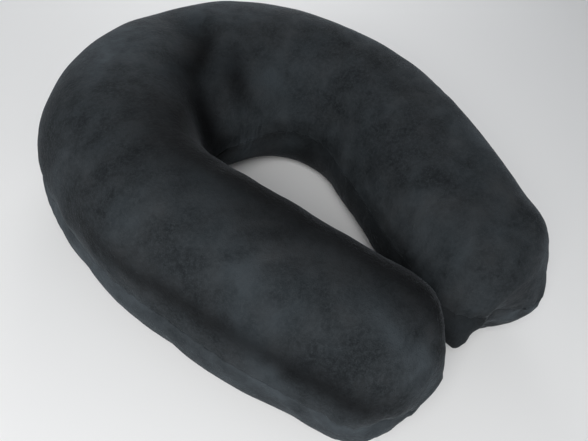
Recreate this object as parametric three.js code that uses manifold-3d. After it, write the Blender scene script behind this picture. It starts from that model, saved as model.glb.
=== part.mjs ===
// U shaped travel neck pillow: a moulded memory foam core in a knitted liner, inside a zipped velour cover.
//
// Millimetres, +Z up. The pillow lies flat with the back of the U towards +Y and both arms towards -Y.
// Left and right are the wearer's, who faces -Y: the left arm is on the +X side.
//
// Every soft layer is one swept surface, drawn in from the outside by its depth under the cover. A layer is
// cut into a back and two arms at the two lines where the foam bends when the arms are spread, and a cover
// or liner is also cut at the height of its seam into an upper and a lower panel.

import * as THREE from 'three';
import { ParametricGeometry } from 'three/addons/geometries/ParametricGeometry.js';
import { mergeVertices } from 'three/addons/utils/BufferGeometryUtils.js';
import Module from 'manifold-3d';

const wasm = await Module();
wasm.setup();

// ---- driving dimensions ----

// centreline of the U, from the middle of the back to the tip of one arm
const BEND_RADIUS = 85;
const BEND_SWEEP = THREE.MathUtils.degToRad(108);
const ARM_STRAIGHT = 88;
const ARM_RETURN_RADIUS = 250;
const ARM_RETURN = 48;

// cross-section
const HALF_WIDTH_BACK = 57;
const HALF_WIDTH_SIDE = 41.5;
const HALF_WIDTH_ARM = 42;
const SEAM_Z = 40;
const TOP_BACK = 52;
const TOP_SIDE = 54;
const TOP_ARM = 46;
const TOP_POWER = 2.3;
const BOTTOM_POWER = 2.25;
const CONTACT_DEPTH = 3; // how far the round underside would reach below the table it lies on
const ARM_GAP = 1.2; // least space between the two arms

// rounded end of each arm
const END_LENGTH = 35;
const LOWER_END_LENGTH = 44; // the underside starts to round off sooner
const END_POWER = 2.5;

// layers
const COVER_THICKNESS = 2.2;
const LINER_DEPTH = 2.9;
const LINER_THICKNESS = 1;
const FOAM_DEPTH = 4.3;
const GAP = 0.3; // air between touching pieces

// bend lines, as an angle around the neck from the middle of the back
const BEND_LINE = THREE.MathUtils.degToRad(60);

// zip, on an arc that lies on the outer wall of the back
const ZIP_CENTRE_Y = 23.5;
const ZIP_RADIUS = 118.4;
const ZIP_HALF_ANGLE = THREE.MathUtils.degToRad(44);
const ZIP_SLOT = 4.2; // half the height of the opening in the cover
const SLOT_DEPTH = [-8, 8]; // from inside the cover to clear of it
const TEETH_Z = [0.7, 1.6]; // heights over the seam of the upper row and tape
const TAPE_Z = [1.9, 3.9];
const TEETH_DEPTH = [-1.5, -0.1]; // out from the zip's arc
const TAPE_DEPTH = [-1.3, -0.4];
const ROW_HALF_ANGLE = THREE.MathUtils.degToRad(42.5);
const STOP_LENGTH = 2.4;

// zip slider and its pull tab
const SLIDER_LENGTH = 10;
const SLIDER_HALF_WIDTH = 3.2;
const SLIDER_REST = THREE.MathUtils.degToRad(-39.5);
const OUTER_PLATE = [0.2, 1.1]; // depths out from the zip's arc
const INNER_PLATE = [-2.5, -1.8];
const FLANGE_DEPTH = [-0.1, 0.3];
const FLANGE_WIDTH = 0.6;
const POST_DEPTH = [-1.9, 0.3];
const POST_HALF_WIDTH = 0.4;
const EAR_Z = [1.7, 2.5];
const EAR_HALF_LENGTH = 1.2;
const EAR_RIM = 0.9; // from the pin's middle to the top of the ears
const PIN_X = 2.5;
const PIN_Y = 2.7;
const PIN_RADIUS = 0.55;
const PIN_LENGTH = 3.8;
const PIN_SIDES = 16;
const PIN_CLEARANCE = 0.25;
const EYE_RADIUS = 1.4;
const TAB_NECK = 1;
const TAB_NECK_HALF_WIDTH = 1.4;
const TAB_SHOULDER = 5;
const TAB_HALF_WIDTH = 3;
const TAB_LENGTH = 22;
const TAB_THICKNESS = 1;

// care label
const LABEL_ANGLE = THREE.MathUtils.degToRad(47);
const LABEL_WIDTH = 14;
const LABEL_LENGTH = 20;
const LABEL_THICKNESS = 0.6;
const LABEL_CLEARANCE = 0.6;

// mesh fineness
const STEPS_ALONG = 40;
const STEPS_AROUND = 16;
const ARC_STEPS = 18; // on the zip, for each radian
const END_SHARE = 0.2; // share of the steps along one half of the U that lie in the arm's rounded end
const FAR = 400; // larger than the pillow

// ---- solids ----

// A closed three.js geometry as a solid. Triangles that collapse onto a pole are dropped.
function solid(geometry) {
  const bare = geometry.clone();
  bare.deleteAttribute('normal');
  bare.deleteAttribute('uv');
  const merged = mergeVertices(bare);
  const corners = [];
  for (let i = 0; i < merged.index.count; i += 3) {
    const [a, b, c] = [0, 1, 2].map((k) => merged.index.getX(i + k));
    if (a !== b && b !== c && c !== a) corners.push(a, b, c);
  }
  const vertProperties = new Float32Array(merged.attributes.position.array);
  return new wasm.Manifold(new wasm.Mesh({ numProp: 3, vertProperties, triVerts: new Uint32Array(corners) }));
}

function geometryOf(shape) {
  const mesh = shape.getMesh();
  const geometry = new THREE.BufferGeometry();
  geometry.setAttribute('position', new THREE.BufferAttribute(new Float32Array(mesh.vertProperties), 3));
  geometry.setIndex(new THREE.BufferAttribute(new Uint32Array(mesh.triVerts), 1));
  geometry.computeVertexNormals();
  return geometry;
}

// A box between two corners.
function block(low, high) {
  const size = high.map((value, axis) => value - low[axis]);
  const centre = high.map((value, axis) => (value + low[axis]) / 2);
  return new THREE.BoxGeometry(...size).translate(...centre);
}

// An upright prism over a flat outline.
function prism(outline, lowZ, highZ, curveSegments = 12) {
  const options = { depth: highZ - lowZ, bevelEnabled: false, curveSegments };
  return new THREE.ExtrudeGeometry(outline, options).translate(0, 0, lowZ);
}

// ---- the U ----

const HALF_LENGTH = BEND_RADIUS * BEND_SWEEP + ARM_STRAIGHT + ARM_RETURN;

// Point and heading at a distance from the middle of the back, on the +X side. The centreline is an arc
// round the neck, a straight arm that leans inwards, and a wide arc that turns the arm's end forwards.
function centreline(distance) {
  const bend = BEND_RADIUS * BEND_SWEEP;
  const turn = Math.min(distance, bend) / BEND_RADIUS;
  const straight = THREE.MathUtils.clamp(distance - bend, 0, ARM_STRAIGHT);
  const back = Math.max(distance - bend - ARM_STRAIGHT, 0) / ARM_RETURN_RADIUS;
  const heading = turn - back;
  return {
    x: BEND_RADIUS * Math.sin(turn) + straight * Math.cos(turn)
      + ARM_RETURN_RADIUS * (Math.sin(turn) - Math.sin(heading)),
    y: BEND_RADIUS * Math.cos(turn) - straight * Math.sin(turn)
      + ARM_RETURN_RADIUS * (Math.cos(turn) - Math.cos(heading)),
    heading,
  };
}

// A dimension that changes smoothly from the back to the side of the neck and on to the arm's end.
function alongU(distance, back, side, arm) {
  const sideAt = BEND_RADIUS * Math.PI / 2;
  if (distance < sideAt) {
    return THREE.MathUtils.lerp(side, back, Math.cos(distance / BEND_RADIUS) ** 2);
  }
  return THREE.MathUtils.lerp(side, arm, THREE.MathUtils.smoothstep(distance, sideAt, HALF_LENGTH - END_LENGTH));
}

const halfWidth = (distance) => alongU(distance, HALF_WIDTH_BACK, HALF_WIDTH_SIDE, HALF_WIDTH_ARM);
const topHeight = (distance) => alongU(distance, TOP_BACK, TOP_SIDE, TOP_ARM);

// One coordinate of a superellipse, from the sine or cosine of its angle. A power of 2 gives a circle.
function rounded(value, power) {
  return Math.sign(value) * Math.abs(value) ** (2 / power);
}

// How far a section has shrunk towards the arm's tip, from 1 on the body of the arm to 0 at the tip.
function endShrink(distance, endLength, depth) {
  const into = (distance - HALF_LENGTH + endLength) / (endLength - depth);
  return rounded(1 - THREE.MathUtils.clamp(into, 0, 1) ** END_POWER, 2 * END_POWER);
}

// The pillow's outer surface, drawn in everywhere by a depth. Its underside is flattened by the table.
function sweptSurface(depth) {
  const point = (u, v, target) => {
    const share = Math.abs(2 * u - 1);
    const side = Math.sign(1 - 2 * u);
    const endAngle = Math.max(share - 1 + END_SHARE, 0) / END_SHARE * Math.PI / 2;
    const body = Math.min(share / (1 - END_SHARE), 1) * (HALF_LENGTH - END_LENGTH);
    const distance = body + (END_LENGTH - depth) * rounded(Math.sin(endAngle), END_POWER);
    const { x, y, heading } = centreline(distance);
    const around = 2 * Math.PI * v;
    const upper = v < 0.5;
    const power = upper ? TOP_POWER : BOTTOM_POWER;
    const rise = rounded(Math.sin(around), power);
    const shrink = endShrink(distance, END_LENGTH, depth);
    const lowerShrink = endShrink(distance, LOWER_END_LENGTH, depth);
    const widthShrink = upper ? shrink : THREE.MathUtils.lerp(shrink, lowerShrink, -rise);
    const out = rounded(Math.cos(around), power) * (halfWidth(distance) - depth) * widthShrink;
    const height = upper ? (topHeight(distance) - depth) * shrink : (SEAM_Z + CONTACT_DEPTH - depth) * lowerShrink;
    const across = x + out * Math.sin(heading);
    const apart = side === 0 ? 0 : Math.max(across, ARM_GAP / 2 + depth);
    target.set(side * apart, y + out * Math.cos(heading), Math.max(SEAM_Z + rise * height, depth));
  };
  return solid(new ParametricGeometry(point, STEPS_ALONG, STEPS_AROUND));
}

// Everything beyond one bend line, for the arm on one side (+1 is +X), moved along the pillow by an offset.
function armSpace(side, offset) {
  const x = offset * Math.cos(BEND_LINE);
  const y = -offset * Math.sin(BEND_LINE);
  const outline = new THREE.Shape([
    new THREE.Vector2(side * x, y),
    new THREE.Vector2(side * (x + FAR * Math.sin(BEND_LINE)), y + FAR * Math.cos(BEND_LINE)),
    new THREE.Vector2(side * FAR, -FAR),
    new THREE.Vector2(side * x, -FAR),
  ]);
  return solid(prism(outline, -FAR, FAR));
}

// Cuts one layer into the back and the two arms.
function threeSections(layer) {
  return {
    back: layer.subtract(armSpace(1, -GAP / 2)).subtract(armSpace(-1, -GAP / 2)),
    left_arm: layer.intersect(armSpace(1, GAP / 2)),
    right_arm: layer.intersect(armSpace(-1, GAP / 2)),
  };
}

const aboveSeam = solid(block([-FAR, -FAR, SEAM_Z + GAP / 2], [FAR, FAR, FAR]));
const belowSeam = solid(block([-FAR, -FAR, -FAR], [FAR, FAR, SEAM_Z - GAP / 2]));

// ---- the zip's arc ----

// A curved bar along the zip between two depths out from the zip's arc, two heights and two angles.
function zipBar([inner, outer], [lowZ, highZ], from = -ZIP_HALF_ANGLE, to = ZIP_HALF_ANGLE) {
  const outline = new THREE.Shape();
  outline.absarc(0, ZIP_CENTRE_Y, ZIP_RADIUS + outer, Math.PI / 2 + from, Math.PI / 2 + to, false);
  outline.absarc(0, ZIP_CENTRE_Y, ZIP_RADIUS + inner, Math.PI / 2 + to, Math.PI / 2 + from, true);
  return prism(outline, SEAM_Z + lowZ, SEAM_Z + highZ, Math.ceil((to - from) * ARC_STEPS));
}

// ---- materials ----

const velour = { color: 0x2d3134, roughness: 0.95, metalness: 0 };
const knit = { color: 0xd9d9d6, roughness: 0.9, metalness: 0 };
const foam = { color: 0xe9e2cf, roughness: 0.85, metalness: 0 };
const tape = { color: 0x1b1d1f, roughness: 0.8, metalness: 0 };
const nylon = { color: 0x141516, roughness: 0.4, metalness: 0 };
const metal = { color: 0x3a3d40, roughness: 0.35, metalness: 0.9 };
const satin = { color: 0xe6e6e2, roughness: 0.6, metalness: 0 };

const pillow = new THREE.Group();

function addPiece(name, geometry, finish, parent = pillow) {
  const mesh = new THREE.Mesh(geometry, new THREE.MeshStandardMaterial(finish));
  mesh.name = name;
  parent.add(mesh);
  return mesh;
}

function addSections(name, layer, finish) {
  for (const [section, shape] of Object.entries(threeSections(layer))) {
    addPiece(`${name}_${section}`, geometryOf(shape), finish);
  }
}

// ---- cover: velour, two panels that meet at the seam, with a slot for the zip ----

function addCover() {
  const slotAngle = ZIP_HALF_ANGLE + 2 * GAP / ZIP_RADIUS;
  const slot = solid(zipBar(SLOT_DEPTH, [-ZIP_SLOT, ZIP_SLOT], -slotAngle, slotAngle));
  const skin = sweptSurface(0).subtract(sweptSurface(COVER_THICKNESS));
  const opened = skin.subtract(slot);
  addSections('cover_top', opened.intersect(aboveSeam), velour);
  addSections('cover_bottom', opened.intersect(belowSeam), velour);
}

// ---- liner: knitted sock round the foam, an upper and a lower half ----

function addLiner() {
  const skin = sweptSurface(LINER_DEPTH).subtract(sweptSurface(LINER_DEPTH + LINER_THICKNESS));
  addSections('liner_upper', skin.intersect(aboveSeam), knit);
  addSections('liner_lower', skin.intersect(belowSeam), knit);
}

// ---- foam core ----

function addFoam() {
  addSections('foam_core', sweptSurface(FOAM_DEPTH), foam);
}

// ---- zip: two woven tapes, two rows of coil teeth, a metal stop at each end, a slider and its pull tab ----

function addZip() {
  const mirrored = ([low, high]) => [-high, -low];
  addPiece('zip_tape_upper', zipBar(TAPE_DEPTH, TAPE_Z), tape);
  addPiece('zip_tape_lower', zipBar(TAPE_DEPTH, mirrored(TAPE_Z)), tape);
  addPiece('zip_teeth_upper', zipBar(TEETH_DEPTH, TEETH_Z, -ROW_HALF_ANGLE, ROW_HALF_ANGLE), nylon);
  addPiece('zip_teeth_lower', zipBar(TEETH_DEPTH, mirrored(TEETH_Z), -ROW_HALF_ANGLE, ROW_HALF_ANGLE), nylon);
  const stopFrom = ROW_HALF_ANGLE + GAP / ZIP_RADIUS;
  const stopTo = stopFrom + STOP_LENGTH / ZIP_RADIUS;
  const stopHeight = [-TEETH_Z[1], TEETH_Z[1]];
  addPiece('zip_stop_right', zipBar(TEETH_DEPTH, stopHeight, stopFrom, stopTo), metal);
  addPiece('zip_stop_left', zipBar(TEETH_DEPTH, stopHeight, -stopTo, -stopFrom), metal);
}

// The slider, lying along X with its outer face towards +Y: two plates that hold the rows between them,
// joined by a thin post between the rows, and two ears with a pin that carry the pull tab.
function sliderGeometry() {
  const half = SLIDER_LENGTH / 2;
  const wide = SLIDER_HALF_WIDTH;
  const bar = (lowX, highX, [inner, outer], [lowZ, highZ]) => block([lowX, inner, lowZ], [highX, outer, highZ]);
  const pin = new THREE.CylinderGeometry(PIN_RADIUS, PIN_RADIUS, PIN_LENGTH, PIN_SIDES);
  const pieces = [
    bar(-half, half, OUTER_PLATE, [-wide, wide]),
    bar(-half, half, INNER_PLATE, [-wide, wide]),
    bar(0, half, POST_DEPTH, [-POST_HALF_WIDTH, POST_HALF_WIDTH]),
    pin.rotateX(Math.PI / 2).translate(PIN_X, PIN_Y, 0),
  ];
  for (const up of [1, -1]) {
    const flange = [up * (wide - FLANGE_WIDTH), up * wide].sort((a, b) => a - b);
    const ear = [up * EAR_Z[0], up * EAR_Z[1]].sort((a, b) => a - b);
    pieces.push(bar(-half, half, FLANGE_DEPTH, flange));
    const earDepth = [OUTER_PLATE[1] - 0.1, PIN_Y + EAR_RIM];
    pieces.push(bar(PIN_X - EAR_HALF_LENGTH, PIN_X + EAR_HALF_LENGTH, earDepth, ear));
  }
  return geometryOf(pieces.map(solid).reduce((whole, piece) => whole.add(piece)));
}

// The pull tab, with its eye round the origin and its blade pointing along +X.
function pullTabGeometry() {
  const eye = new THREE.Shape().absarc(0, 0, EYE_RADIUS, 0, 2 * Math.PI, false);
  eye.holes.push(new THREE.Path().absarc(0, 0, PIN_RADIUS + PIN_CLEARANCE, 0, 2 * Math.PI, true));
  const blade = new THREE.Shape();
  const round = TAB_HALF_WIDTH;
  blade.moveTo(TAB_NECK, -TAB_NECK_HALF_WIDTH);
  blade.lineTo(TAB_SHOULDER, -round);
  blade.absarc(TAB_LENGTH - round, 0, round, -Math.PI / 2, Math.PI / 2, false);
  blade.lineTo(TAB_SHOULDER, round);
  blade.lineTo(TAB_NECK, TAB_NECK_HALF_WIDTH);
  const half = TAB_THICKNESS / 2;
  const flat = prism(blade, -half, half, 8).rotateX(Math.PI / 2);
  const ring = prism(eye, -TAB_NECK_HALF_WIDTH, TAB_NECK_HALF_WIDTH, 10);
  return geometryOf(solid(flat).add(solid(ring)));
}

function addSlider() {
  const carriage = new THREE.Group();
  carriage.position.set(0, ZIP_CENTRE_Y, SEAM_Z);
  carriage.rotation.z = SLIDER_REST;
  pillow.add(carriage);
  addPiece('zip_slider', sliderGeometry(), metal, carriage).position.y = ZIP_RADIUS;
  addPiece('zip_pull_tab', pullTabGeometry(), metal, carriage).position.set(PIN_X, ZIP_RADIUS + PIN_Y, 0);
}

// ---- care label: a blank folded ribbon that hangs from the seam beside the zip ----

function addCareLabel() {
  const { x, y, heading } = centreline(BEND_RADIUS * LABEL_ANGLE);
  const out = halfWidth(BEND_RADIUS * LABEL_ANGLE) + LABEL_CLEARANCE;
  const ribbon = block([-LABEL_WIDTH / 2, 0, -LABEL_LENGTH], [LABEL_WIDTH / 2, LABEL_THICKNESS, 0]);
  const label = addPiece('care_label', ribbon, satin);
  label.position.set(-x - out * Math.sin(heading), y + out * Math.cos(heading), SEAM_Z);
  label.rotation.z = heading;
}

addCover();
addLiner();
addFoam();
addZip();
addSlider();
addCareLabel();

// the origin is under the middle of the pillow
const extent = new THREE.Box3().setFromObject(pillow);
const middle = extent.getCenter(new THREE.Vector3());
pillow.position.set(-middle.x, -middle.y, 0);

export default pillow;
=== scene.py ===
"""U shaped memory foam neck pillow in a zipped charcoal velour cover.

Every soft layer is the same swept U surface, drawn in by its depth below the cover. The cover's panels get
their wrinkles from a cloth simulation whose seam is pinned, and their seams and puckers after it. The row
frame is in metres, +Z up, with the back of the U towards +Y and the wearer's left arm at +X. The shape's
own numbers are in millimetres.
"""

import math

import bmesh
import bpy
import numpy as np
from mathutils import Matrix, Vector


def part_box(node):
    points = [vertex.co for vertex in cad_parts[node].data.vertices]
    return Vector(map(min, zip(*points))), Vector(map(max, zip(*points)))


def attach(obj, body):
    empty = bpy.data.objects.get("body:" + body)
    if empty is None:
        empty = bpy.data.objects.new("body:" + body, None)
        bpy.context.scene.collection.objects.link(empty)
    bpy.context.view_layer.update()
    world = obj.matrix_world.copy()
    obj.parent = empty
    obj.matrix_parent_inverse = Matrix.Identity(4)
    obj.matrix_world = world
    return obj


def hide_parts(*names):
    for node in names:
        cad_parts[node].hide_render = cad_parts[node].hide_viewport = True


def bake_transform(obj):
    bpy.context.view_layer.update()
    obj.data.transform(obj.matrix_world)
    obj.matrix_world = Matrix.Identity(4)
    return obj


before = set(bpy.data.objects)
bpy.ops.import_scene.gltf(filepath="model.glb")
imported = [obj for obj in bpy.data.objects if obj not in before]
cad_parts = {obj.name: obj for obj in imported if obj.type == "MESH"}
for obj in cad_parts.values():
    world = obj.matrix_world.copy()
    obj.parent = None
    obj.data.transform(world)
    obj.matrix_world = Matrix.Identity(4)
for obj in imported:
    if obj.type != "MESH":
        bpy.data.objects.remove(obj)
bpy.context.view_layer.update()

MM = 0.001

# ---------------------------------------------------------------- driving dimensions, in millimetres

BEND_RADIUS = 85.0
BEND_SWEEP = math.radians(108)
ARM_STRAIGHT = 88.0
ARM_RETURN_RADIUS = 250.0
ARM_RETURN = 48.0
HALF_LENGTH = BEND_RADIUS * BEND_SWEEP + ARM_STRAIGHT + ARM_RETURN

HALF_WIDTH = (57.0, 41.5, 42.0)   # at the back, beside the neck and on the arm
TOP_HEIGHT = (52.0, 54.0, 46.0)   # above the seam, at the same places
SEAM_Z = 40.0
TOP_POWER = 2.3
BOTTOM_POWER = 2.25
CONTACT_DEPTH = 3.0
END_LENGTH = 35.0
LOWER_END_LENGTH = 44.0
END_POWER = 2.5
END_SHARE = 0.16                  # share of the stations of one half that lie in its rounded end
FLOOR_ROUNDING = 1.0

COVER_THICKNESS = 1.5
LINER_DEPTH = 5.6
LINER_THICKNESS = 0.7
FOAM_DEPTH = 6.8

SEAM_ROLL = 0.6                   # radius of the panels' turned edges
SEAM_VALLEY = 0.6                 # how far the stitching draws the seam in
PUCKER_PITCH = 10.5               # along the seam
ARM_FOLD_DEPTH = 1.4              # of the soft fold above the seam on the outside of the arms
END_DENTS = ((31.0, -147.0, SEAM_Z), (-72.0, -147.0, SEAM_Z))
DENT_DEPTH = 3.2
DENT_REACH = 8.0
CREASE_DEPTH = 8.0                # of the fold across the middle of the back

ZIP_HALF_ANGLE = math.radians(44)
ZIP_RADIUS = 118.4
SLOT_HALF_HEIGHT = 3.7
SLOT_END = 0.035                  # angle over which the slot closes at its ends
SLOT_FADE = 26.0                  # height above the seam up to which the panel makes way for the slot
TEETH_TOP = ZIP_RADIUS - 0.1
ZIP_CENTRE_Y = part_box("zip_teeth_upper")[1].y / MM - TEETH_TOP
SHIFT_Y = ZIP_CENTRE_Y - 23.5     # the U lies so that its box is centred in the row frame

HALF_STATIONS = 200               # of the fine grid, on each half of the U
PANEL_ROWS = 90                   # from the outer seam to the inner one
INNER_HALF_STATIONS = 80          # of the coarser grid of the liner and the foam
INNER_ROWS = 24


# ---------------------------------------------------------------- the U surface

def smoothstep(low, high, value):
    t = np.clip((value - low) / (high - low), 0, 1)
    return t * t * (3 - 2 * t)


def bump(value, centre, width):
    return np.exp(-((value - centre) / width) ** 2)


def rounded(value, power):
    return np.sign(value) * np.abs(value) ** (2 / power)


def centreline(distance):
    """x, y and heading on the +X half, for distances from the middle of the back."""
    bend = BEND_RADIUS * BEND_SWEEP
    turn = np.minimum(distance, bend) / BEND_RADIUS
    straight = np.clip(distance - bend, 0, ARM_STRAIGHT)
    heading = turn - np.maximum(distance - bend - ARM_STRAIGHT, 0) / ARM_RETURN_RADIUS
    x = BEND_RADIUS * np.sin(turn) + straight * np.cos(turn)
    y = BEND_RADIUS * np.cos(turn) - straight * np.sin(turn)
    x += ARM_RETURN_RADIUS * (np.sin(turn) - np.sin(heading))
    y += ARM_RETURN_RADIUS * (np.cos(turn) - np.cos(heading))
    return x, y, heading


def along_u(distance, values):
    back, side, arm = values
    side_at = BEND_RADIUS * math.pi / 2
    near = side + (back - side) * np.cos(np.minimum(distance, side_at) / BEND_RADIUS) ** 2
    far = side + (arm - side) * smoothstep(side_at, HALF_LENGTH - END_LENGTH, distance)
    return np.where(distance < side_at, near, far)


def end_shrink(distance, end_length, depth):
    into = np.clip((distance - HALF_LENGTH + end_length) / (end_length - depth), 0, 1)
    return (1 - into ** END_POWER) ** (1 / END_POWER)


def station_distance(share, depth):
    """Distance along the centreline and the end's shrink, for a share of one half from 0 to 1."""
    end_angle = np.maximum(share - 1 + END_SHARE, 0) / END_SHARE * math.pi / 2
    body = np.minimum(share / (1 - END_SHARE), 1) * (HALF_LENGTH - END_LENGTH)
    distance = body + (END_LENGTH - depth) * rounded(np.sin(end_angle), END_POWER)
    shrink = np.where(share >= 1, 0.0, np.abs(np.cos(end_angle)) ** (2 / END_POWER))
    return distance, shrink


def soft_floor(z, floor):
    """Flattens what would reach below the floor, with a rounded edge."""
    return floor + 0.5 * (z - floor + np.sqrt((z - floor) ** 2 + FLOOR_ROUNDING ** 2))


def surface(station, around, depth=0.0):
    """Points of the U, in millimetres. station runs from -1 at the right tip to 1 at the left tip, and
    around from 0 at the outer seam over the top to pi at the inner seam and back below to 2 pi."""
    side = np.where(station < 0, -1.0, 1.0)
    distance, shrink = station_distance(np.abs(station), depth)
    lower_shrink = end_shrink(distance, LOWER_END_LENGTH, depth)
    x, y, heading = centreline(distance)
    upper = np.sin(around) >= 0
    power = np.where(upper, TOP_POWER, BOTTOM_POWER)
    rise = rounded(np.sin(around), power)
    width_shrink = np.where(upper, shrink, shrink + (lower_shrink - shrink) * -rise)
    out = rounded(np.cos(around), power) * (along_u(distance, HALF_WIDTH) - depth) * width_shrink
    top = (along_u(distance, TOP_HEIGHT) - depth) * shrink
    height = np.where(upper, top, (SEAM_Z + CONTACT_DEPTH - depth) * lower_shrink)
    z = soft_floor(SEAM_Z + rise * height, depth)
    return np.stack([side * (x + out * np.sin(heading)), y + out * np.cos(heading) + SHIFT_Y, z], -1)


# where the padding bulges (above 0) or gives way (below 0): station, angle round, and reach and height in
# millimetres
BULGES = [
    (-0.25, 0.20, 30, 3.0),       # right side of the back
    (-0.43, 5.90, 25, -2.5),      # waist of the right arm
    (-0.65, 5.75, 35, 2.5),       # its outer side
    (-0.98, 2.20, 20, 3.5),       # inner corner of its end
    (0.91, 0.70, 25, -3.5),       # upper corner of the left arm's end
    (0.97, 6.10, 17, 6.0),        # that end at the seam
    (0.16, 1.05, 40, 2.5),        # left side of the back
    (0.64, 0.95, 30, 2.5),        # outer side of the left arm
]
# how the inner corners of the arm ends are pulled: a place, the reach around it and the move, in millimetres
CORNER_PULLS = [
    ((9, -133, 20), 13, (-3.0, -8.5, -4.0)),
    ((12, -138, 16), 10, (-4.5, -2.5, -5.0)),
    ((28, -144, 20), 11, (2.0, 3.5, 3.5)),
    ((-19, -138, 60), 18, (-3.5, 3.5, -1.0)),
]


def bulge(station, angle, reach, height):
    """The place, reach and move of a bulge straight out of the smooth U."""
    stations = station + np.array([-0.005, 0, 0.005])
    angles = angle + np.array([-0.02, 0, 0.02])
    patch = surface(*np.meshgrid(stations, angles, indexing="ij"))
    return patch[1, 1], reach, height * grid_normals(patch)[1, 1]


def unevenness(points):
    """How far the padding moves each point."""
    moves = np.zeros_like(points)
    for place, reach, move in [bulge(*row) for row in BULGES] + CORNER_PULLS:
        near = np.exp(-(np.linalg.norm(points - place, axis=-1) / reach) ** 2)
        moves += near[..., None] * np.array(move)
    return moves


def padded_surface(station, around, depth=0.0):
    """The U with the unevenness of its padding."""
    points = surface(station, around, depth)
    points = points + unevenness(points)
    points[..., 2] = soft_floor(points[..., 2], depth)
    return points


def fine_grid(half_stations, rows):
    """Stations and angles of a grid whose rows lie closer together beside the seams."""
    station = np.linspace(-1, 1, 2 * half_stations + 1)
    step = np.arange(rows) / rows
    panel = math.pi * (step - 0.88 * np.sin(2 * math.pi * step) / (2 * math.pi))
    return np.meshgrid(station, np.concatenate([panel, math.pi + panel]), indexing="ij")


def grid_normals(points):
    """Unit normals of a grid of points [station, around, 3] that wraps round, pointing out of the pillow."""
    along = np.gradient(points, axis=0)
    around = np.roll(points, -1, 1) - np.roll(points, 1, 1)
    normal = np.cross(around, along)
    normal /= np.maximum(np.linalg.norm(normal, axis=-1, keepdims=True), 1e-9)
    for tip, beside in ((0, 1), (-1, -2)):
        outward = points[tip, 0] - points[beside].mean(0)
        normal[tip] = outward / np.linalg.norm(outward)
    return normal


# ---------------------------------------------------------------- folds, seams and puckers

def crease_line(y, z):
    """x of the crease across the back, which leans to the right on its way down to the neck."""
    return -20 * smoothstep(86, 58, y) * (0.6 + 0.4 * smoothstep(SEAM_Z, SEAM_Z + 20, z))


def fold_depth(points):
    """How far the foam sinks at each point, in millimetres: the crease where the back is bent, a smaller
    fold beside it, and the dents in the ends of the arms."""
    x, y, z = np.moveaxis(points, -1, 0)
    behind = y > 0
    upper = smoothstep(SEAM_Z, SEAM_Z + 42, z)
    beside = x - crease_line(y, z)
    wide = np.where(beside < 0, 22, 12)
    crease = CREASE_DEPTH * bump(beside, 0, wide) * smoothstep(150, 75, y) * (0.12 + 0.88 * upper)
    side_fold = 1.2 * bump(x - 0.35 * (y - 60), 12, 7) * smoothstep(130, 70, y) * upper
    fold = (crease + side_fold) * behind
    for place in END_DENTS:
        fold = fold + DENT_DEPTH * np.exp(-(np.linalg.norm(points - place, axis=-1) / DENT_REACH) ** 2)
    outer = smoothstep(78, 88, np.abs(x) - 0.33 * np.minimum(y + 60, 0) * -1)
    along_arm = smoothstep(40, 0, y) * smoothstep(-150, -125, y)
    arm_fold = ARM_FOLD_DEPTH * bump(z, SEAM_Z + 13, 8) * outer * along_arm
    return fold + arm_fold


def lumps(points):
    """Slow unevenness of the padded cover, in millimetres."""
    x, y, z = np.moveaxis(points / 1000, -1, 0)
    wide = np.sin(71 * x + 23 * y + 1.3) * np.sin(64 * y - 31 * x + 0.4)
    small = np.sin(148 * x - 66 * y + 40 * z) * np.sin(131 * y + 52 * x + 2.1)
    return 0.55 * wide + 0.22 * small


def seam_rows(points):
    """For each point, its height above the seam plane and how far along the nearer seam it lies."""
    rows = points.shape[1] // 2
    run = np.linalg.norm(np.diff(points, axis=0, prepend=points[:1]), axis=-1).cumsum(0)
    outer_half = np.abs(np.arange(2 * rows) - rows) > rows / 2
    along = np.where(outer_half, run[:, :1], run[:, rows:rows + 1])
    return np.abs(points[..., 2] - SEAM_Z), along


def seam_relief(points, distance):
    """Height of the rolled panel edges and the puckers that their stitching draws in."""
    height, along = seam_rows(points)
    roll = SEAM_ROLL - np.sqrt(np.maximum(SEAM_ROLL ** 2 - np.maximum(SEAM_ROLL - height, 0) ** 2, 0))
    at_end = smoothstep(HALF_LENGTH - 55, HALF_LENGTH - 10, distance)
    phase = 2 * math.pi * along / PUCKER_PITCH + 1.9 * np.sin(2 * math.pi * along / 41)
    ripple = np.sin(phase) * (0.65 + 0.35 * np.sin(2 * math.pi * along / 57 + 1))
    fine = np.sin(2.37 * phase + 0.8)
    reach = 9 + 14 * at_end
    drawn = (0.42 + 0.35 * at_end) * (ripple + 0.3 * fine) * np.exp(-height / reach)
    valley = SEAM_VALLEY * np.exp(-(height / 7) ** 2)
    return drawn - roll - valley


# ---------------------------------------------------------------- cloth simulation of the cover

SIM_START_DEPTH = 3.0
SIM_STATIONS = 170
SIM_AROUND = 64
SIM_FRAMES = 22
SIM_CAP = 5.0
SIM_BLUR = 14
SIM_LIMIT = (-2.2, 1.8)
WRINKLES_ON_TOP = 0.14            # share of the simulated wrinkles that the stiff pile lets show
WRINKLES_AT_SEAM = 0.42


def closed_mesh(name, points):
    """A closed mesh from a grid that wraps round and meets in one point at each end, and the grid of its
    vertex numbers."""
    stations, around = points.shape[:2]
    index = np.arange(stations * around).reshape(stations, around) - (around - 1)
    index[0] = 0
    index[-1] = index[-2, -1] + 1
    vertices = np.empty((index.max() + 1, 3))
    vertices[index] = points
    faces = []
    for i in range(stations - 1):
        for j in range(around):
            k = (j + 1) % around
            face = [index[i, j], index[i, k], index[i + 1, k], index[i + 1, j]]
            faces.append([int(f) for n, f in enumerate(face) if f != face[n - 1]])
    mesh = bpy.data.meshes.new(name)
    mesh.from_pydata(vertices, [], faces)
    mesh.update()
    return mesh, index


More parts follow.
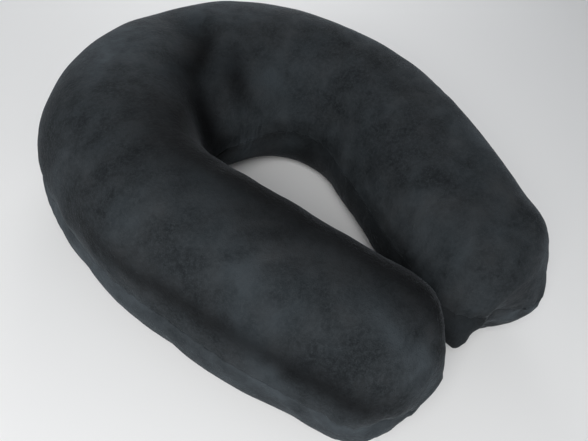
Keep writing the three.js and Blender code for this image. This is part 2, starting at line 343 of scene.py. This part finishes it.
def simulated_wrinkles():
    """Runs the cover as pressurised cloth with its seam pinned. Returns the height of its wrinkles over the
    smooth swelling, in millimetres, as a grid [station, around]."""
    station = np.linspace(-1, 1, SIM_STATIONS)
    turn = np.arange(SIM_AROUND) / SIM_AROUND * 2 * math.pi
    start = surface(*np.meshgrid(station, turn, indexing="ij"), SIM_START_DEPTH)
    mesh, index = closed_mesh("cover_sim", start * MM)
    obj = bpy.data.objects.new("cover_sim", mesh)
    bpy.context.scene.collection.objects.link(obj)
    seam = obj.vertex_groups.new(name="seam")
    seam.add([int(i) for i in {*index[:, 0], *index[:, SIM_AROUND // 2]}], 1.0, "REPLACE")
    cloth = obj.modifiers.new("cloth", "CLOTH")
    settings = cloth.settings
    settings.quality = 6
    settings.mass = 0.2
    settings.tension_stiffness = 12
    settings.compression_stiffness = 12
    settings.shear_stiffness = 8
    settings.bending_stiffness = 0.6
    settings.vertex_group_mass = "seam"
    settings.shrink_min = -0.045
    settings.use_pressure = True
    settings.uniform_pressure_force = 5
    settings.effector_weights.gravity = 0
    cloth.collision_settings.use_collision = False
    cloth.point_cache.frame_end = SIM_FRAMES
    scene = bpy.context.scene
    scene.frame_start, scene.frame_end = 1, SIM_FRAMES
    for f in range(1, SIM_FRAMES + 1):
        scene.frame_set(f)
    done = obj.evaluated_get(bpy.context.evaluated_depsgraph_get())
    moved = np.empty(len(mesh.vertices) * 3, np.float32)
    done.data.vertices.foreach_get("co", moved)
    moves = moved.reshape(-1, 3)[index] / MM - start
    scene.frame_set(1)
    bpy.data.objects.remove(obj)
    bpy.data.meshes.remove(mesh)
    length = np.linalg.norm(moves, axis=-1, keepdims=True)
    moves *= np.minimum(1, SIM_CAP / np.maximum(length, 1e-9))
    height = (moves * grid_normals(start)).sum(-1)
    return np.clip(height - blurred(height, SIM_BLUR), *SIM_LIMIT)


def blurred(values, passes):
    for _ in range(passes):
        values = (np.roll(values, 1, 1) + 2 * values + np.roll(values, -1, 1)) / 4
        padded = np.pad(values, ((1, 1), (0, 0)), mode="edge")
        values = (padded[:-2] + 2 * padded[1:-1] + padded[2:]) / 4
    return values


def catmull_rom(values, where, wrap):
    """Cubic interpolation along the first axis, at places given in steps of that axis."""
    count = len(values)
    base = np.floor(where).astype(int)
    t = (where - base)[:, None]
    picks = [base + k for k in (-1, 0, 1, 2)]
    picks = [p % count if wrap else np.clip(p, 0, count - 1) for p in picks]
    a, b, c, d = (values[p] for p in picks)
    square = 2 * a - 5 * b + 4 * c - d
    cube = 3 * b - a - 3 * c + d
    return 0.5 * (2 * b + (c - a) * t + square * t * t + cube * t ** 3)


def wrinkles_on(stations, angles):
    """The simulated wrinkles at the fine grid's stations and angles."""
    coarse = simulated_wrinkles()
    lengthwise = catmull_rom(coarse, (stations + 1) / 2 * (SIM_STATIONS - 1), False)
    return catmull_rom(lengthwise.T, angles / (2 * math.pi) * SIM_AROUND, True).T


# ---------------------------------------------------------------- the cover's fine shape

def zip_zone(points):
    """1 along the zip's slot and 0 away from it."""
    x, y = points[..., 0], points[..., 1] - ZIP_CENTRE_Y
    beside = smoothstep(ZIP_HALF_ANGLE, ZIP_HALF_ANGLE - SLOT_END, np.abs(np.arctan2(x, y)))
    return beside * smoothstep(ZIP_RADIUS - 16, ZIP_RADIUS - 6, np.hypot(x, y))


def cover_grid():
    """The outer face of the whole cover as one grid, and how far its edges make way for the zip's slot."""
    station, around = fine_grid(HALF_STATIONS, PANEL_ROWS)
    base = padded_surface(station, around)
    normal = grid_normals(base)
    distance = station_distance(np.abs(station), 0)[0]
    in_slot = zip_zone(base)
    relief = lumps(base) + seam_relief(base, distance) * (1 - 0.7 * in_slot) - fold_depth(base)
    height = np.abs(base[..., 2] - SEAM_Z)
    share = WRINKLES_ON_TOP + (WRINKLES_AT_SEAM - WRINKLES_ON_TOP) * np.exp(-height / 12)
    relief = relief + share * wrinkles_on(station[:, 0], around[0])
    points = base + normal * relief[..., None]
    points[..., 2] = soft_floor(points[..., 2], 0.3)
    slot = in_slot * SLOT_HALF_HEIGHT * np.clip(1 - np.abs(base[..., 2] - SEAM_Z) / SLOT_FADE, 0, 1) ** 2
    rows = PANEL_ROWS
    points[:, 1:rows, 2] += slot[:, 1:rows]
    points[:, rows + 1:, 2] -= slot[:, rows + 1:]
    return points, slot


# patches of painted shade (above 0) or painted light (below 0) on the velour: station, reach, angle round,
# reach, how much
PAINTED_PATCHES = [
    (0.00, 0.09, 2.30, 0.45, 0.7),      # beside the crease
    (-0.31, 0.10, 2.50, 0.45, 0.7),
    (-0.12, 0.13, 1.25, 0.55, -0.7),    # right of the crease, up on the back
    (0.20, 0.22, 1.15, 0.35, -0.9),     # left of it
    (0.60, 0.25, 1.05, 0.30, -0.4),     # outside of the left arm
    (0.05, 0.18, 3.40, 0.40, -1.1),     # inner wall behind the neck
    (0.50, 0.35, 3.30, 0.40, -0.3),     # inner wall of the left arm
    (-0.58, 0.20, 1.40, 0.35, 0.2),     # top of the right arm
    (-0.97, 0.07, 1.15, 0.60, -0.8),    # end of the right arm
    (0.85, 0.10, 1.85, 0.40, 0.2),      # top of the left arm
    (0.95, 0.06, 1.00, 0.60, -0.4),     # end of the left arm
    (0.99, 0.06, 4.10, 0.80, -0.8),
]


def painted_light_and_shade(points):
    """Painted light and shade on the fine grid: towards 1 it is painted shade and looks darker, below 0 it is
    painted light and looks lighter."""
    station, around = fine_grid(HALF_STATIONS, PANEL_ROWS)
    x, y, z = np.moveaxis(points, -1, 0)
    reach = np.abs(station)
    # painted shade in the crease across the back
    beside = x - 1.35 * crease_line(y, z)
    crease = 0.85 * bump(beside, 0, np.where(beside < 0, 25, 12)) * smoothstep(150, 90, y)
    crease = crease * smoothstep(SEAM_Z - 10, SEAM_Z + 10, z) * (y > 20)
    # painted shade on the inner slope of the right arm, low on the inner wall of the left arm and underneath
    on_right = smoothstep(-0.2, -0.45, station)
    top = around < math.pi
    right_slope = 0.95 * smoothstep(1.25, 2.0, around) * top * on_right * smoothstep(1.0, 0.92, reach)
    left_slope = 0.35 * smoothstep(2.95, 3.12, around) * top * (station > 0)
    underside = 0.7 * (around >= math.pi) * (around < 5) * smoothstep(1.0, 0.95, reach)
    # a band of painted shade above the seam on the outside of the arms, and painted light on the outer rims
    along_arm = smoothstep(0.32, 0.46, reach) * smoothstep(0.98, 0.86, reach)
    outer_band = bump(z, SEAM_Z + 17, 8) * (around < 1.6) * along_arm
    outer_band = outer_band * np.where(station < 0, 0.75, 0.4)
    outer_rim = 0.3 * smoothstep(0.5, 0.1, around) + smoothstep(5.4, 6.0, around)
    outer_rim = outer_rim * smoothstep(0.2, 0.35, reach)
    painted_shading = crease + right_slope + left_slope + underside + outer_band - 0.5 * outer_rim
    # patches of painted shade and painted light
    for place, width, angle, height, amount in PAINTED_PATCHES:
        painted_shading = painted_shading + amount * bump(station, place, width) * bump(around, angle, height)
    return np.clip(painted_shading, -1, 1)


def inner_grid(depth):
    """A layer under the cover, folded as the cover is."""
    station, around = fine_grid(INNER_HALF_STATIONS, INNER_ROWS)
    base = padded_surface(station, around, depth)
    return base - grid_normals(base) * fold_depth(base)[..., None]


# ---------------------------------------------------------------- mesh building

SHARP_ANGLE = math.radians(50)


def new_piece(name, vertices, faces, material, slot, painted_shading=None):
    """A smooth shaded object from points in millimetres, with its sharp edges marked."""
    mesh = bpy.data.meshes.new(name)
    mesh.from_pydata(np.asarray(vertices) * MM, [], faces)
    # painted light and shade, when given, is stored per point for the velour's colour
    if painted_shading is not None:
        mesh.attributes.new("painted_light_and_shade", "FLOAT", "POINT").data.foreach_set("value", painted_shading.astype(np.float32))
    bm = bmesh.new()
    bm.from_mesh(mesh)
    bmesh.ops.remove_doubles(bm, verts=bm.verts, dist=1e-7)
    bmesh.ops.recalc_face_normals(bm, faces=bm.faces)
    for face in bm.faces:
        face.smooth = True
    for edge in bm.edges:
        edge.smooth = edge.calc_face_angle(0) < SHARP_ANGLE
    bm.to_mesh(mesh)
    bm.free()
    mesh.materials.append(material)
    obj = bpy.data.objects.new(name, mesh)
    bpy.context.scene.collection.objects.link(obj)
    return obj


def quads(index):
    """The faces of a grid of vertex numbers."""
    corners = [index[:-1, :-1], index[:-1, 1:], index[1:, 1:], index[1:, :-1]]
    return np.stack(corners, -1).reshape(-1, 4).tolist()


def panel_normals(points):
    """Unit normals of an open grid that may end in a tip, and whose edge on x = 0 stays on it."""
    normal = np.cross(np.gradient(points, axis=1), np.gradient(points, axis=0))
    for tip, beside in ((0, 1), (-1, -2)):
        if np.ptp(points[tip], axis=0).max() < 0.5:
            normal[tip] = (points[tip] - points[beside].mean(0)) * (1, 1, 0)
        else:
            normal[tip, :, 0] = 0
    return normal / np.maximum(np.linalg.norm(normal, axis=-1, keepdims=True), 1e-9)


def slab(outer, inner):
    """Vertices and faces of the closed sheet between two open grids of the same size."""
    count = outer.shape[0] * outer.shape[1]
    index = np.arange(count).reshape(outer.shape[:2])
    rim = np.concatenate([index[0], index[1:, -1], index[-1, -2::-1], index[-2:0:-1, 0]])
    following = np.roll(rim, -1)
    sides = np.stack([rim, following, following + count, rim + count], -1).tolist()
    vertices = np.concatenate([outer.reshape(-1, 3), inner.reshape(-1, 3)])
    return vertices, quads(index) + quads(index[::-1] + count) + sides


def shell(name, outer, thickness, material, slot, painted_shading=None):
    """A closed thin shell under an open grid of outer points."""
    painted_shading = None if painted_shading is None else np.tile(painted_shading.ravel(), 2)
    inner = outer - panel_normals(outer) * thickness
    return new_piece(name, *slab(outer, inner), material, slot, painted_shading)


def tubes(name, paths, radius, sides, across, material, slot):
    """Round threads along open paths. across is a direction that no path runs along."""
    vertices, faces = [], []
    turn = np.arange(sides) / sides * 2 * math.pi
    for path in paths:
        tangent = np.gradient(path, axis=0)
        first = np.cross(tangent, across)
        first /= np.linalg.norm(first, axis=1, keepdims=True)
        second = np.cross(tangent, first)
        second /= np.linalg.norm(second, axis=1, keepdims=True)
        ring = first[:, None] * np.cos(turn)[:, None] + second[:, None] * np.sin(turn)[:, None]
        start = sum(len(v) for v in vertices)
        vertices.append((path[:, None] + ring * radius).reshape(-1, 3))
        index = start + np.arange(len(path) * sides).reshape(-1, sides)
        faces += quads(np.concatenate([index, index[:, :1]], 1))
        faces += [index[0].tolist(), index[-1, ::-1].tolist()]
    return new_piece(name, np.concatenate(vertices), faces, material, slot)


# ---------------------------------------------------------------- materials

def new_material(name, roughness, specular=0.5, metallic=0.0):
    material = bpy.data.materials.new(name)
    material.use_nodes = True
    shader = material.node_tree.nodes["Principled BSDF"]
    shader.inputs["Roughness"].default_value = roughness
    shader.inputs["Specular IOR Level"].default_value = specular
    shader.inputs["Metallic"].default_value = metallic
    return material, material.node_tree, shader


def put(tree, kind, inputs=(), **settings):
    """A node with its settings, and with each input a value or another node's output."""
    node = tree.nodes.new(kind)
    for name, value in settings.items():
        setattr(node, name, value)
    for name, value in dict(inputs).items():
        if isinstance(value, bpy.types.NodeSocket):
            tree.links.new(value, node.inputs[name])
        else:
            node.inputs[name].default_value = value
    return node


def noise(tree, scale, detail=2.0, rough=0.5, distortion=0.0, stretch=(1, 1, 1)):
    """A noise value from 0 to 1 in the piece's own space, scale features to the metre."""
    place = put(tree, "ShaderNodeTexCoord")
    mapped = put(tree, "ShaderNodeMapping", {"Vector": place.outputs["Object"], "Scale": stretch})
    settings = {"Vector": mapped.outputs[0], "Scale": scale, "Detail": detail}
    settings.update({"Roughness": rough, "Distortion": distortion})
    return put(tree, "ShaderNodeTexNoise", settings).outputs[0]


def maths(tree, operation, first, second):
    return put(tree, "ShaderNodeMath", {0: first, 1: second}, operation=operation).outputs[0]


def spread(tree, value, low, high, to_low, to_high):
    """Maps low..high to to_low..to_high, clamped."""
    settings = {"Value": value, "From Min": low, "From Max": high, "To Min": to_low, "To Max": to_high}
    return put(tree, "ShaderNodeMapRange", settings).outputs[0]


def blend_colour(tree, share, first, second):
    mixed = put(tree, "ShaderNodeMix", data_type="RGBA")
    for socket, value in ((mixed.inputs[0], share), (mixed.inputs[6], first), (mixed.inputs[7], second)):
        if isinstance(value, bpy.types.NodeSocket):
            tree.links.new(value, socket)
        else:
            socket.default_value = value
    return mixed.outputs[2]


def add_bump(tree, shader, height, distance, strength=1.0):
    inputs = {"Height": height, "Distance": distance, "Strength": strength}
    bumps = put(tree, "ShaderNodeBump", inputs)
    tree.links.new(bumps.outputs[0], shader.inputs["Normal"])


VELOUR_DEEP = (0.0116, 0.0139, 0.0156, 1)
VELOUR_LIGHT = (0.0290, 0.0352, 0.0398, 1)
VELOUR_WARM = (0.0322, 0.0348, 0.0372, 1)
VELOUR_TIPS = (0.0370, 0.0430, 0.0470, 1)
# painted shade and painted light: the colours the velour is mixed towards where shade or light is painted on
VELOUR_PAINTED_SHADE = (0.0018, 0.0020, 0.0023, 1)
VELOUR_PAINTED_LIGHT_DEEP = (0.0400, 0.0480, 0.0540, 1)
VELOUR_PAINTED_LIGHT = (0.0740, 0.0880, 0.0990, 1)


def velour_material():
    """Short pile: patches lying different ways, painted shade and painted light mixed into the colour, fibre
    speckle and a soft sheen.
    """
    material, tree, shader = new_material("charcoal_velour", 0.92, 0.08)
    shader.inputs["Sheen Weight"].default_value = 0.09
    shader.inputs["Sheen Roughness"].default_value = 0.14
    shader.inputs["Sheen Tint"].default_value = (0.82, 0.91, 1.0, 1)
    patches = noise(tree, 22, 2, 0.6, 0.6)
    mottle = noise(tree, 95, 3, 0.6, 0.3)
    pile = noise(tree, 520, 2, 0.65)
    fibre = noise(tree, 1700, 2, 0.6)
    broad = maths(tree, "MULTIPLY", patches, 0.55)
    close = maths(tree, "MULTIPLY", mottle, 0.45)
    nap = spread(tree, maths(tree, "ADD", broad, close), 0.38, 0.62, 0, 1)
    tint = spread(tree, noise(tree, 38, 2), 0.35, 0.65, 0, 1)
    light = blend_colour(tree, tint, VELOUR_LIGHT, VELOUR_WARM)
    colour = blend_colour(tree, nap, VELOUR_DEEP, light)
    painted_light = blend_colour(tree, nap, VELOUR_PAINTED_LIGHT_DEEP, VELOUR_PAINTED_LIGHT)
    tips = maths(tree, "MULTIPLY", pile, fibre)
    colour = blend_colour(tree, spread(tree, tips, 0.18, 0.40, 0, 0.6), colour, VELOUR_TIPS)
    # painted light and shade stored on the pieces, nudged a little by the nap patches
    painted_shading = put(tree, "ShaderNodeAttribute", attribute_name="painted_light_and_shade").outputs["Fac"]
    painted_shading = maths(tree, "ADD", painted_shading, spread(tree, patches, 0.3, 0.7, 0.12, -0.12))
    # painted shade darkens where the value is above 0, painted light lightens where it is below 0
    colour = blend_colour(tree, spread(tree, painted_shading, 0, 1, 0, 0.95), colour, VELOUR_PAINTED_SHADE)
    colour = blend_colour(tree, spread(tree, painted_shading, 0, -1, 0, 0.85), colour, painted_light)
    tree.links.new(colour, shader.inputs["Base Color"])
    tree.links.new(spread(tree, patches, 0.3, 0.7, 0.82, 1.0), shader.inputs["Roughness"])
    depth = maths(tree, "ADD", maths(tree, "MULTIPLY", pile, 0.6), maths(tree, "MULTIPLY", fibre, 0.4))
    depth = maths(tree, "ADD", depth, maths(tree, "MULTIPLY", mottle, 0.5))
    add_bump(tree, shader, depth, 0.0010, 0.8)
    return material


def knit_material():
    """Fine rib knit of the liner."""
    material, tree, shader = new_material("liner_knit", 0.85, 0.2)
    shader.inputs["Sheen Weight"].default_value = 0.15
    ribs = noise(tree, 420, 2, 0.5, 0.0, (1.0, 1.0, 0.3))
    colour = blend_colour(tree, ribs, (0.52, 0.52, 0.50, 1), (0.72, 0.72, 0.69, 1))
    tree.links.new(colour, shader.inputs["Base Color"])
    add_bump(tree, shader, ribs, 0.0006)
    return material


def foam_material():
    """Open cells of cut foam."""
    material, tree, shader = new_material("memory_foam", 0.95, 0.2)
    cells = put(tree, "ShaderNodeTexVoronoi", {"Scale": 850.0}).outputs[0]
    tone = noise(tree, 40, 3)
    colour = blend_colour(tree, tone, (0.74, 0.66, 0.47, 1), (0.82, 0.77, 0.60, 1))
    tree.links.new(colour, shader.inputs["Base Color"])
    add_bump(tree, shader, cells, 0.0005)
    return material


def tape_material():
    """Dense woven tape of the zip."""
    material, tree, shader = new_material("zip_tape_weave", 0.7, 0.3)
    threads = put(tree, "ShaderNodeTexMagic", {"Scale": 900.0, "Distortion": 0.6}, turbulence_depth=1)
    weave = threads.outputs[1]
    colour = blend_colour(tree, weave, (0.010, 0.011, 0.013, 1), (0.030, 0.033, 0.037, 1))
    tree.links.new(colour, shader.inputs["Base Color"])
    add_bump(tree, shader, weave, 0.0003)
    return material


def nylon_material():
    """Moulded coil and sewing thread, slightly glossy."""
    material, tree, shader = new_material("black_nylon", 0.38, 0.5)
    wear = noise(tree, 500, 2)
    colour = blend_colour(tree, wear, (0.012, 0.013, 0.015, 1), (0.030, 0.032, 0.036, 1))
    tree.links.new(colour, shader.inputs["Base Color"])
    add_bump(tree, shader, wear, 0.00008)
    return material


def metal_material():
    """Dark plated zinc, rubbed bright in places."""
    material, tree, shader = new_material("dark_plated_metal", 0.32, 0.5, 1.0)
    rubbed = noise(tree, 260, 4, 0.7)
    fine = noise(tree, 1500, 2)
    worn = spread(tree, rubbed, 0.55, 0.72, 0, 1)
    colour = blend_colour(tree, worn, (0.10, 0.10, 0.11, 1), (0.42, 0.42, 0.44, 1))
    tree.links.new(colour, shader.inputs["Base Color"])
    tree.links.new(spread(tree, fine, 0.3, 0.7, 0.24, 0.46), shader.inputs["Roughness"])
    add_bump(tree, shader, fine, 0.00004)
    return material


def satin_material():
    """Woven satin of the care label, left blank."""
    material, tree, shader = new_material("label_satin", 0.42, 0.4)
    shader.inputs["Sheen Weight"].default_value = 0.2
    threads = noise(tree, 1600, 1, 0.5, 0.0, (1.0, 1.0, 0.15))
    colour = blend_colour(tree, threads, (0.55, 0.55, 0.54, 1), (0.74, 0.74, 0.72, 1))
    tree.links.new(colour, shader.inputs["Base Color"])
    add_bump(tree, shader, threads, 0.0001)
    return material


velour = velour_material()
knit = knit_material()
foam = foam_material()
woven = tape_material()
nylon = nylon_material()
metal = metal_material()
satin = satin_material()


# ---------------------------------------------------------------- soft pieces

SEAM_GAP = 0.1
SIDES = {"left": 1, "right": -1}


def half_of(grid, side):
    middle = (len(grid) - 1) // 2
    return grid[middle:] if side == "left" else grid[:middle + 1]


def panel_columns(rows, upper):
    return (np.arange(rows + 1) + (0 if upper else rows)) % (2 * rows)


def panel_of(grid, upper, lift=0.0):
    """The columns of the upper or lower panel, with its two edges lifted off the seam plane."""
    columns = panel_columns(grid.shape[1] // 2, upper)
    panel = grid[:, columns].copy()
    away = 1 if upper else -1
    panel[:, 0, 2] += away * lift_at(lift, columns[0])
    panel[:, -1, 2] += away * lift_at(lift, columns[-1])
    return panel


def lift_at(lift, column):
    return SEAM_GAP / 2 + (lift[:, column] if isinstance(lift, np.ndarray) else lift)


def bends(piece):
    """Bakes the piece's placement into its mesh."""
    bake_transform(piece)


def stands_for(node, side):
    """Hides its arm's node, and for the left side also the node of the back."""
    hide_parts(f"{node}_{side}_arm")
    if side == "left":
        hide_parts(f"{node}_back")


PANEL_STRETCH = 1.04            # an assumption: the cloth is cut this much smaller than the form it covers


def cut_area(depth, upper):
    """A half panel's flat area, from the smooth form alone: no unevenness, folds or simulated wrinkles."""
    station, around = fine_grid(HALF_STATIONS, PANEL_ROWS)
    form = half_of(panel_of(surface(station, around, depth), upper), "left") * MM
    along = form[1:, 1:] - form[:-1, :-1]
    across = form[:-1, 1:] - form[1:, :-1]
    return np.linalg.norm(np.cross(along, across), axis=-1).sum() / 2 / PANEL_STRETCH


def make_cover():
    points, slot = cover_grid()
    # painted light and shade over the whole cover
    whole_painted_shading = painted_light_and_shade(points)
    for level in ("top", "bottom"):
        panel = panel_of(points, level == "top", slot)
        painted_shading = whole_painted_shading[:, panel_columns(PANEL_ROWS, level == "top")]
        for side in SIDES:
            half, name = half_of(panel, side), f"cover_{level}_{side}"
            piece = shell(name, half, COVER_THICKNESS, velour, "velour", half_of(painted_shading, side))
            stands_for(f"cover_{level}", side)
            cut_area(0, level == "top")
            bends(piece)
    return panel_of(points, True, slot), panel_of(points, False, slot)


def make_liner():
    points = inner_grid(LINER_DEPTH)
    for level, name in (("top", "upper"), ("bottom", "lower")):
        panel = panel_of(points, level == "top")
        for side in SIDES:
            piece = shell(f"liner_{name}_{side}", half_of(panel, side), LINER_THICKNESS, knit, "knit")
            stands_for(f"liner_{name}", side)
            cut_area(LINER_DEPTH, level == "top")
            bends(piece)


def make_foam():
    points = inner_grid(FOAM_DEPTH)
    for side in SIDES:
        half = half_of(points, side)
        index = np.arange(half.shape[0] * half.shape[1]).reshape(half.shape[:2])
        faces = quads(np.concatenate([index, index[:, :1]], 1))
        faces.append(index[0 if side == "left" else -1].tolist())
        piece = new_piece(f"foam_core_{side}", half.reshape(-1, 3), faces, foam, "foam")
        stands_for("foam_core", side)
        bends(piece)


# ---------------------------------------------------------------- zip

COIL_PITCH = 1.6
COIL_RADIUS = ZIP_RADIUS - 0.65
COIL_HALF_ANGLE = math.radians(42.5)
POINTS_PER_TURN = 14
WIRE_RADIUS = 0.24
TAPE_HALF = 0.25


def on_zip(angle, radius, height):
    """Points at an angle from the middle of the back, at a radius of the zip's arc and above its plane."""
    return np.stack([radius * np.sin(angle), ZIP_CENTRE_Y + radius * np.cos(angle), SEAM_Z + height], -1)


def make_coil(level, away):
    """One nylon coil: a helix flattened between the tape and the slider."""
    turns = 2 * COIL_HALF_ANGLE * COIL_RADIUS / COIL_PITCH
    turn = np.linspace(0, turns, int(turns * POINTS_PER_TURN))
    phase = 2 * math.pi * (turn + (0.5 if away < 0 else 0))
    angle = -COIL_HALF_ANGLE + turn * COIL_PITCH / COIL_RADIUS
    height = away * (1.25 - 0.6 * np.cos(phase))
    path = on_zip(angle, COIL_RADIUS + 0.42 * np.sin(phase), height)
    along = np.array([1.0, 0.02, 0.0])
    piece = tubes(f"zip_teeth_{level}", [path], WIRE_RADIUS, 6, along, nylon, "zip_teeth")
    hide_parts(f"zip_teeth_{level}")
    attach(piece, "back")


def make_tape(level, away):
    """Woven tape under the coil, which turns down behind the panel's edge."""
    angle = np.linspace(-ZIP_HALF_ANGLE, ZIP_HALF_ANGLE, 90)[:, None]
    height = np.linspace(0.35, 8.5, 14)[None]
    radius = ZIP_RADIUS - 1.5 - 1.9 * smoothstep(2.6, 5.5, height)
    outer = on_zip(angle + 0 * height, radius + TAPE_HALF + 0 * angle, away * height + 0 * angle)
    inner = on_zip(angle + 0 * height, radius - TAPE_HALF + 0 * angle, away * height + 0 * angle)
    piece = new_piece(f"zip_tape_{level}", *slab(outer, inner), woven, "zip_tape")
    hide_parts(f"zip_tape_{level}")
    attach(piece, "back")


STITCH_LENGTH = 2.6
STITCH_PITCH = 3.3
STITCH_RADIUS = 0.19
STITCH_ROW = 8            # row of the cover's grid that the stitches follow


def make_stitching(level, panel):
    """A line of stitches along the slot, each dipping into the velour at its ends."""
    row = STITCH_ROW if level == "upper" else PANEL_ROWS - STITCH_ROW
    line = panel[:, row] + panel_normals(panel)[:, row] * 0.12
    normal = panel_normals(panel)[:, row]
    angle = np.arctan2(line[:, 0], line[:, 1] - ZIP_CENTRE_Y)
    near = (np.abs(angle) < ZIP_HALF_ANGLE) & (line[:, 1] > ZIP_CENTRE_Y)
    line, normal = line[near], normal[near]
    run = np.concatenate([[0], np.linalg.norm(np.diff(line, axis=0), axis=1).cumsum()])
    paths = []
    for start in np.arange(0, run[-1] - STITCH_LENGTH, STITCH_PITCH):
        at = start + np.linspace(0, STITCH_LENGTH, 7)
        path = np.stack([np.interp(at, run, line[:, k]) for k in range(3)], -1)
        out = np.stack([np.interp(at, run, normal[:, k]) for k in range(3)], -1)
        dip = np.array([0.55, 0.12, 0, 0, 0, 0.12, 0.55])
        paths.append(path - out * dip[:, None])
    upright = np.array([0, 0, 1.0])
    piece = tubes(f"zip_stitching_{level}", paths, STITCH_RADIUS, 6, upright, nylon, "zip_teeth")
    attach(piece, "back")


def repaint(node, material):
    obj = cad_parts[node]
    obj.data.materials.clear()
    obj.data.materials.append(material)


def make_zip(top_panel, bottom_panel):
    for level, away in (("upper", 1), ("lower", -1)):
        make_coil(level, away)
        make_tape(level, away)
    make_stitching("upper", top_panel)
    make_stitching("lower", bottom_panel)
    for node in ("zip_stop_left", "zip_stop_right", "zip_slider", "zip_pull_tab"):
        repaint(node, metal)


# ---------------------------------------------------------------- care label

LABEL_WIDTH = 14.0
LABEL_LENGTH = 20.0
RIBBON_THICKNESS = 0.22
LOOP_START = 0.93         # share of the drop at which the ribbon starts to turn back up


def make_label():
    """A blank satin ribbon, folded into a loop whose ends are sewn into the seam."""
    low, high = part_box("care_label")
    middle = (low + high) / 2 / MM
    outward = Vector((middle.x, middle.y - SHIFT_Y, 0)).normalized()
    sideways = Vector((-outward.y, outward.x, 0))
    loop = np.linspace(0, math.pi, 17)[1:-1]
    leg = np.linspace(0, LOOP_START, 12)
    back_leg = np.linspace(LOOP_START, 0, 12)
    drop = np.concatenate([leg, LOOP_START + (1 - LOOP_START) * np.sin(loop), back_leg])
    apart = np.concatenate([np.full(12, -1.0), -np.cos(loop), np.full(12, 1.0)])
    gape = 0.25 + 0.45 * np.sin(math.pi * drop)
    across = np.linspace(-0.5, 0.5, 9)
    curl = 0.9 * (across * 2) ** 2
    place = np.array(middle)[None, None] * (1, 1, 0) + np.array([0, 0, SEAM_Z])
    grid = place + np.array(sideways)[None, None] * across[None, :, None] * LABEL_WIDTH
    grid = grid + np.array(outward) * (apart * gape)[:, None, None]
    grid = grid + np.array(outward) * (curl[None, :, None] * drop[:, None, None])
    grid = grid - np.array([0, 0, 1.0]) * (drop * LABEL_LENGTH)[:, None, None]
    grid = grid + unevenness(grid)
    piece = ribbon("care_label_ribbon", grid, RIBBON_THICKNESS)
    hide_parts("care_label")
    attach(piece, "back")


def ribbon(name, grid, thickness):
    """A strip of satin with the grid as its middle layer."""
    normal = np.cross(np.gradient(grid, axis=1), np.gradient(grid, axis=0))
    normal /= np.linalg.norm(normal, axis=-1, keepdims=True)
    half = normal * thickness / 2
    return new_piece(name, *slab(grid + half, grid - half), satin, "label")


# ---------------------------------------------------------------- floor, light and camera

FLOOR_REACH = 2.5
KEY_LIGHT = {"place": (-0.60, -0.36, 0.68), "power": 8.0, "size": 0.5}
BACK_LIGHT = {"place": (0.45, 0.60, 0.22), "power": 2.0, "size": 0.4}
LIT_POINT = Vector((0, 0, 0.05))
HORIZON_LIGHT = (0.86, 0.90, 0.95, 1)
ZENITH_LIGHT = (0.15, 0.155, 0.165, 1)
CAMERA_AZIMUTH = math.radians(-54.39)
CAMERA_ELEVATION = math.radians(45.32)
CAMERA_ROLL = math.radians(15.46)
CAMERA_DISTANCE = 0.339
CAMERA_LENS = 37.79
CAMERA_TARGET = Vector((-0.0264, -0.0371, 0.050))


def make_floor():
    mesh = bpy.data.meshes.new("floor")
    corners = [(x * FLOOR_REACH, y * FLOOR_REACH, 0) for x, y in ((-1, -1), (1, -1), (1, 1), (-1, 1))]
    mesh.from_pydata(corners, [], [(0, 1, 2, 3)])
    floor = bpy.data.objects.new("floor", mesh)
    bpy.context.scene.collection.objects.link(floor)
    material, tree, shader = new_material("pale_floor", 0.6, 0.2)
    colour = blend_colour(tree, noise(tree, 3, 2), (0.86, 0.86, 0.86, 1), (0.90, 0.90, 0.89, 1))
    tree.links.new(colour, shader.inputs["Base Color"])
    mesh.materials.append(material)


def make_light(name, place, power, size):
    data = bpy.data.lights.new(name, "AREA")
    data.energy = power
    data.size = size
    light = bpy.data.objects.new(name, data)
    light.location = place
    light.rotation_mode = "QUATERNION"
    light.rotation_quaternion = (LIT_POINT - Vector(place)).to_track_quat("-Z", "Y")
    bpy.context.scene.collection.objects.link(light)


def make_world():
    """Pale light from all round the horizon, dimmer from overhead."""
    world = bpy.data.worlds.new("studio")
    world.use_nodes = True
    tree = world.node_tree
    background = tree.nodes["Background"]
    direction = put(tree, "ShaderNodeTexCoord").outputs["Generated"]
    height = put(tree, "ShaderNodeSeparateXYZ", {0: direction}).outputs[2]
    colour = blend_colour(tree, spread(tree, height, 0.05, 0.6, 0, 1), HORIZON_LIGHT, ZENITH_LIGHT)
    tree.links.new(colour, background.inputs["Color"])
    bpy.context.scene.world = world
    bpy.context.scene.view_settings.view_transform = "Standard"


def make_camera():
    a, e = CAMERA_AZIMUTH, CAMERA_ELEVATION
    back = Vector((math.sin(a) * math.cos(e), -math.cos(a) * math.cos(e), math.sin(e)))
    level = Vector((math.cos(a), math.sin(a), 0))
    above = back.cross(level)
    right = level * math.cos(CAMERA_ROLL) + above * math.sin(CAMERA_ROLL)
    up = above * math.cos(CAMERA_ROLL) - level * math.sin(CAMERA_ROLL)
    data = bpy.data.cameras.new("camera")
    data.lens = CAMERA_LENS
    data.clip_start, data.clip_end = 0.01, 20
    camera = bpy.data.objects.new("camera", data)
    camera.location = CAMERA_TARGET + back * CAMERA_DISTANCE
    camera.rotation_mode = "QUATERNION"
    camera.rotation_quaternion = Matrix((right, up, back)).transposed().to_quaternion()
    bpy.context.scene.collection.objects.link(camera)
    bpy.context.scene.camera = camera


top_panel, bottom_panel = make_cover()
make_liner()
make_foam()
make_zip(top_panel, bottom_panel)
make_label()

make_floor()
make_light("key", **KEY_LIGHT)
make_light("back", **BACK_LIGHT)
make_world()
make_camera()
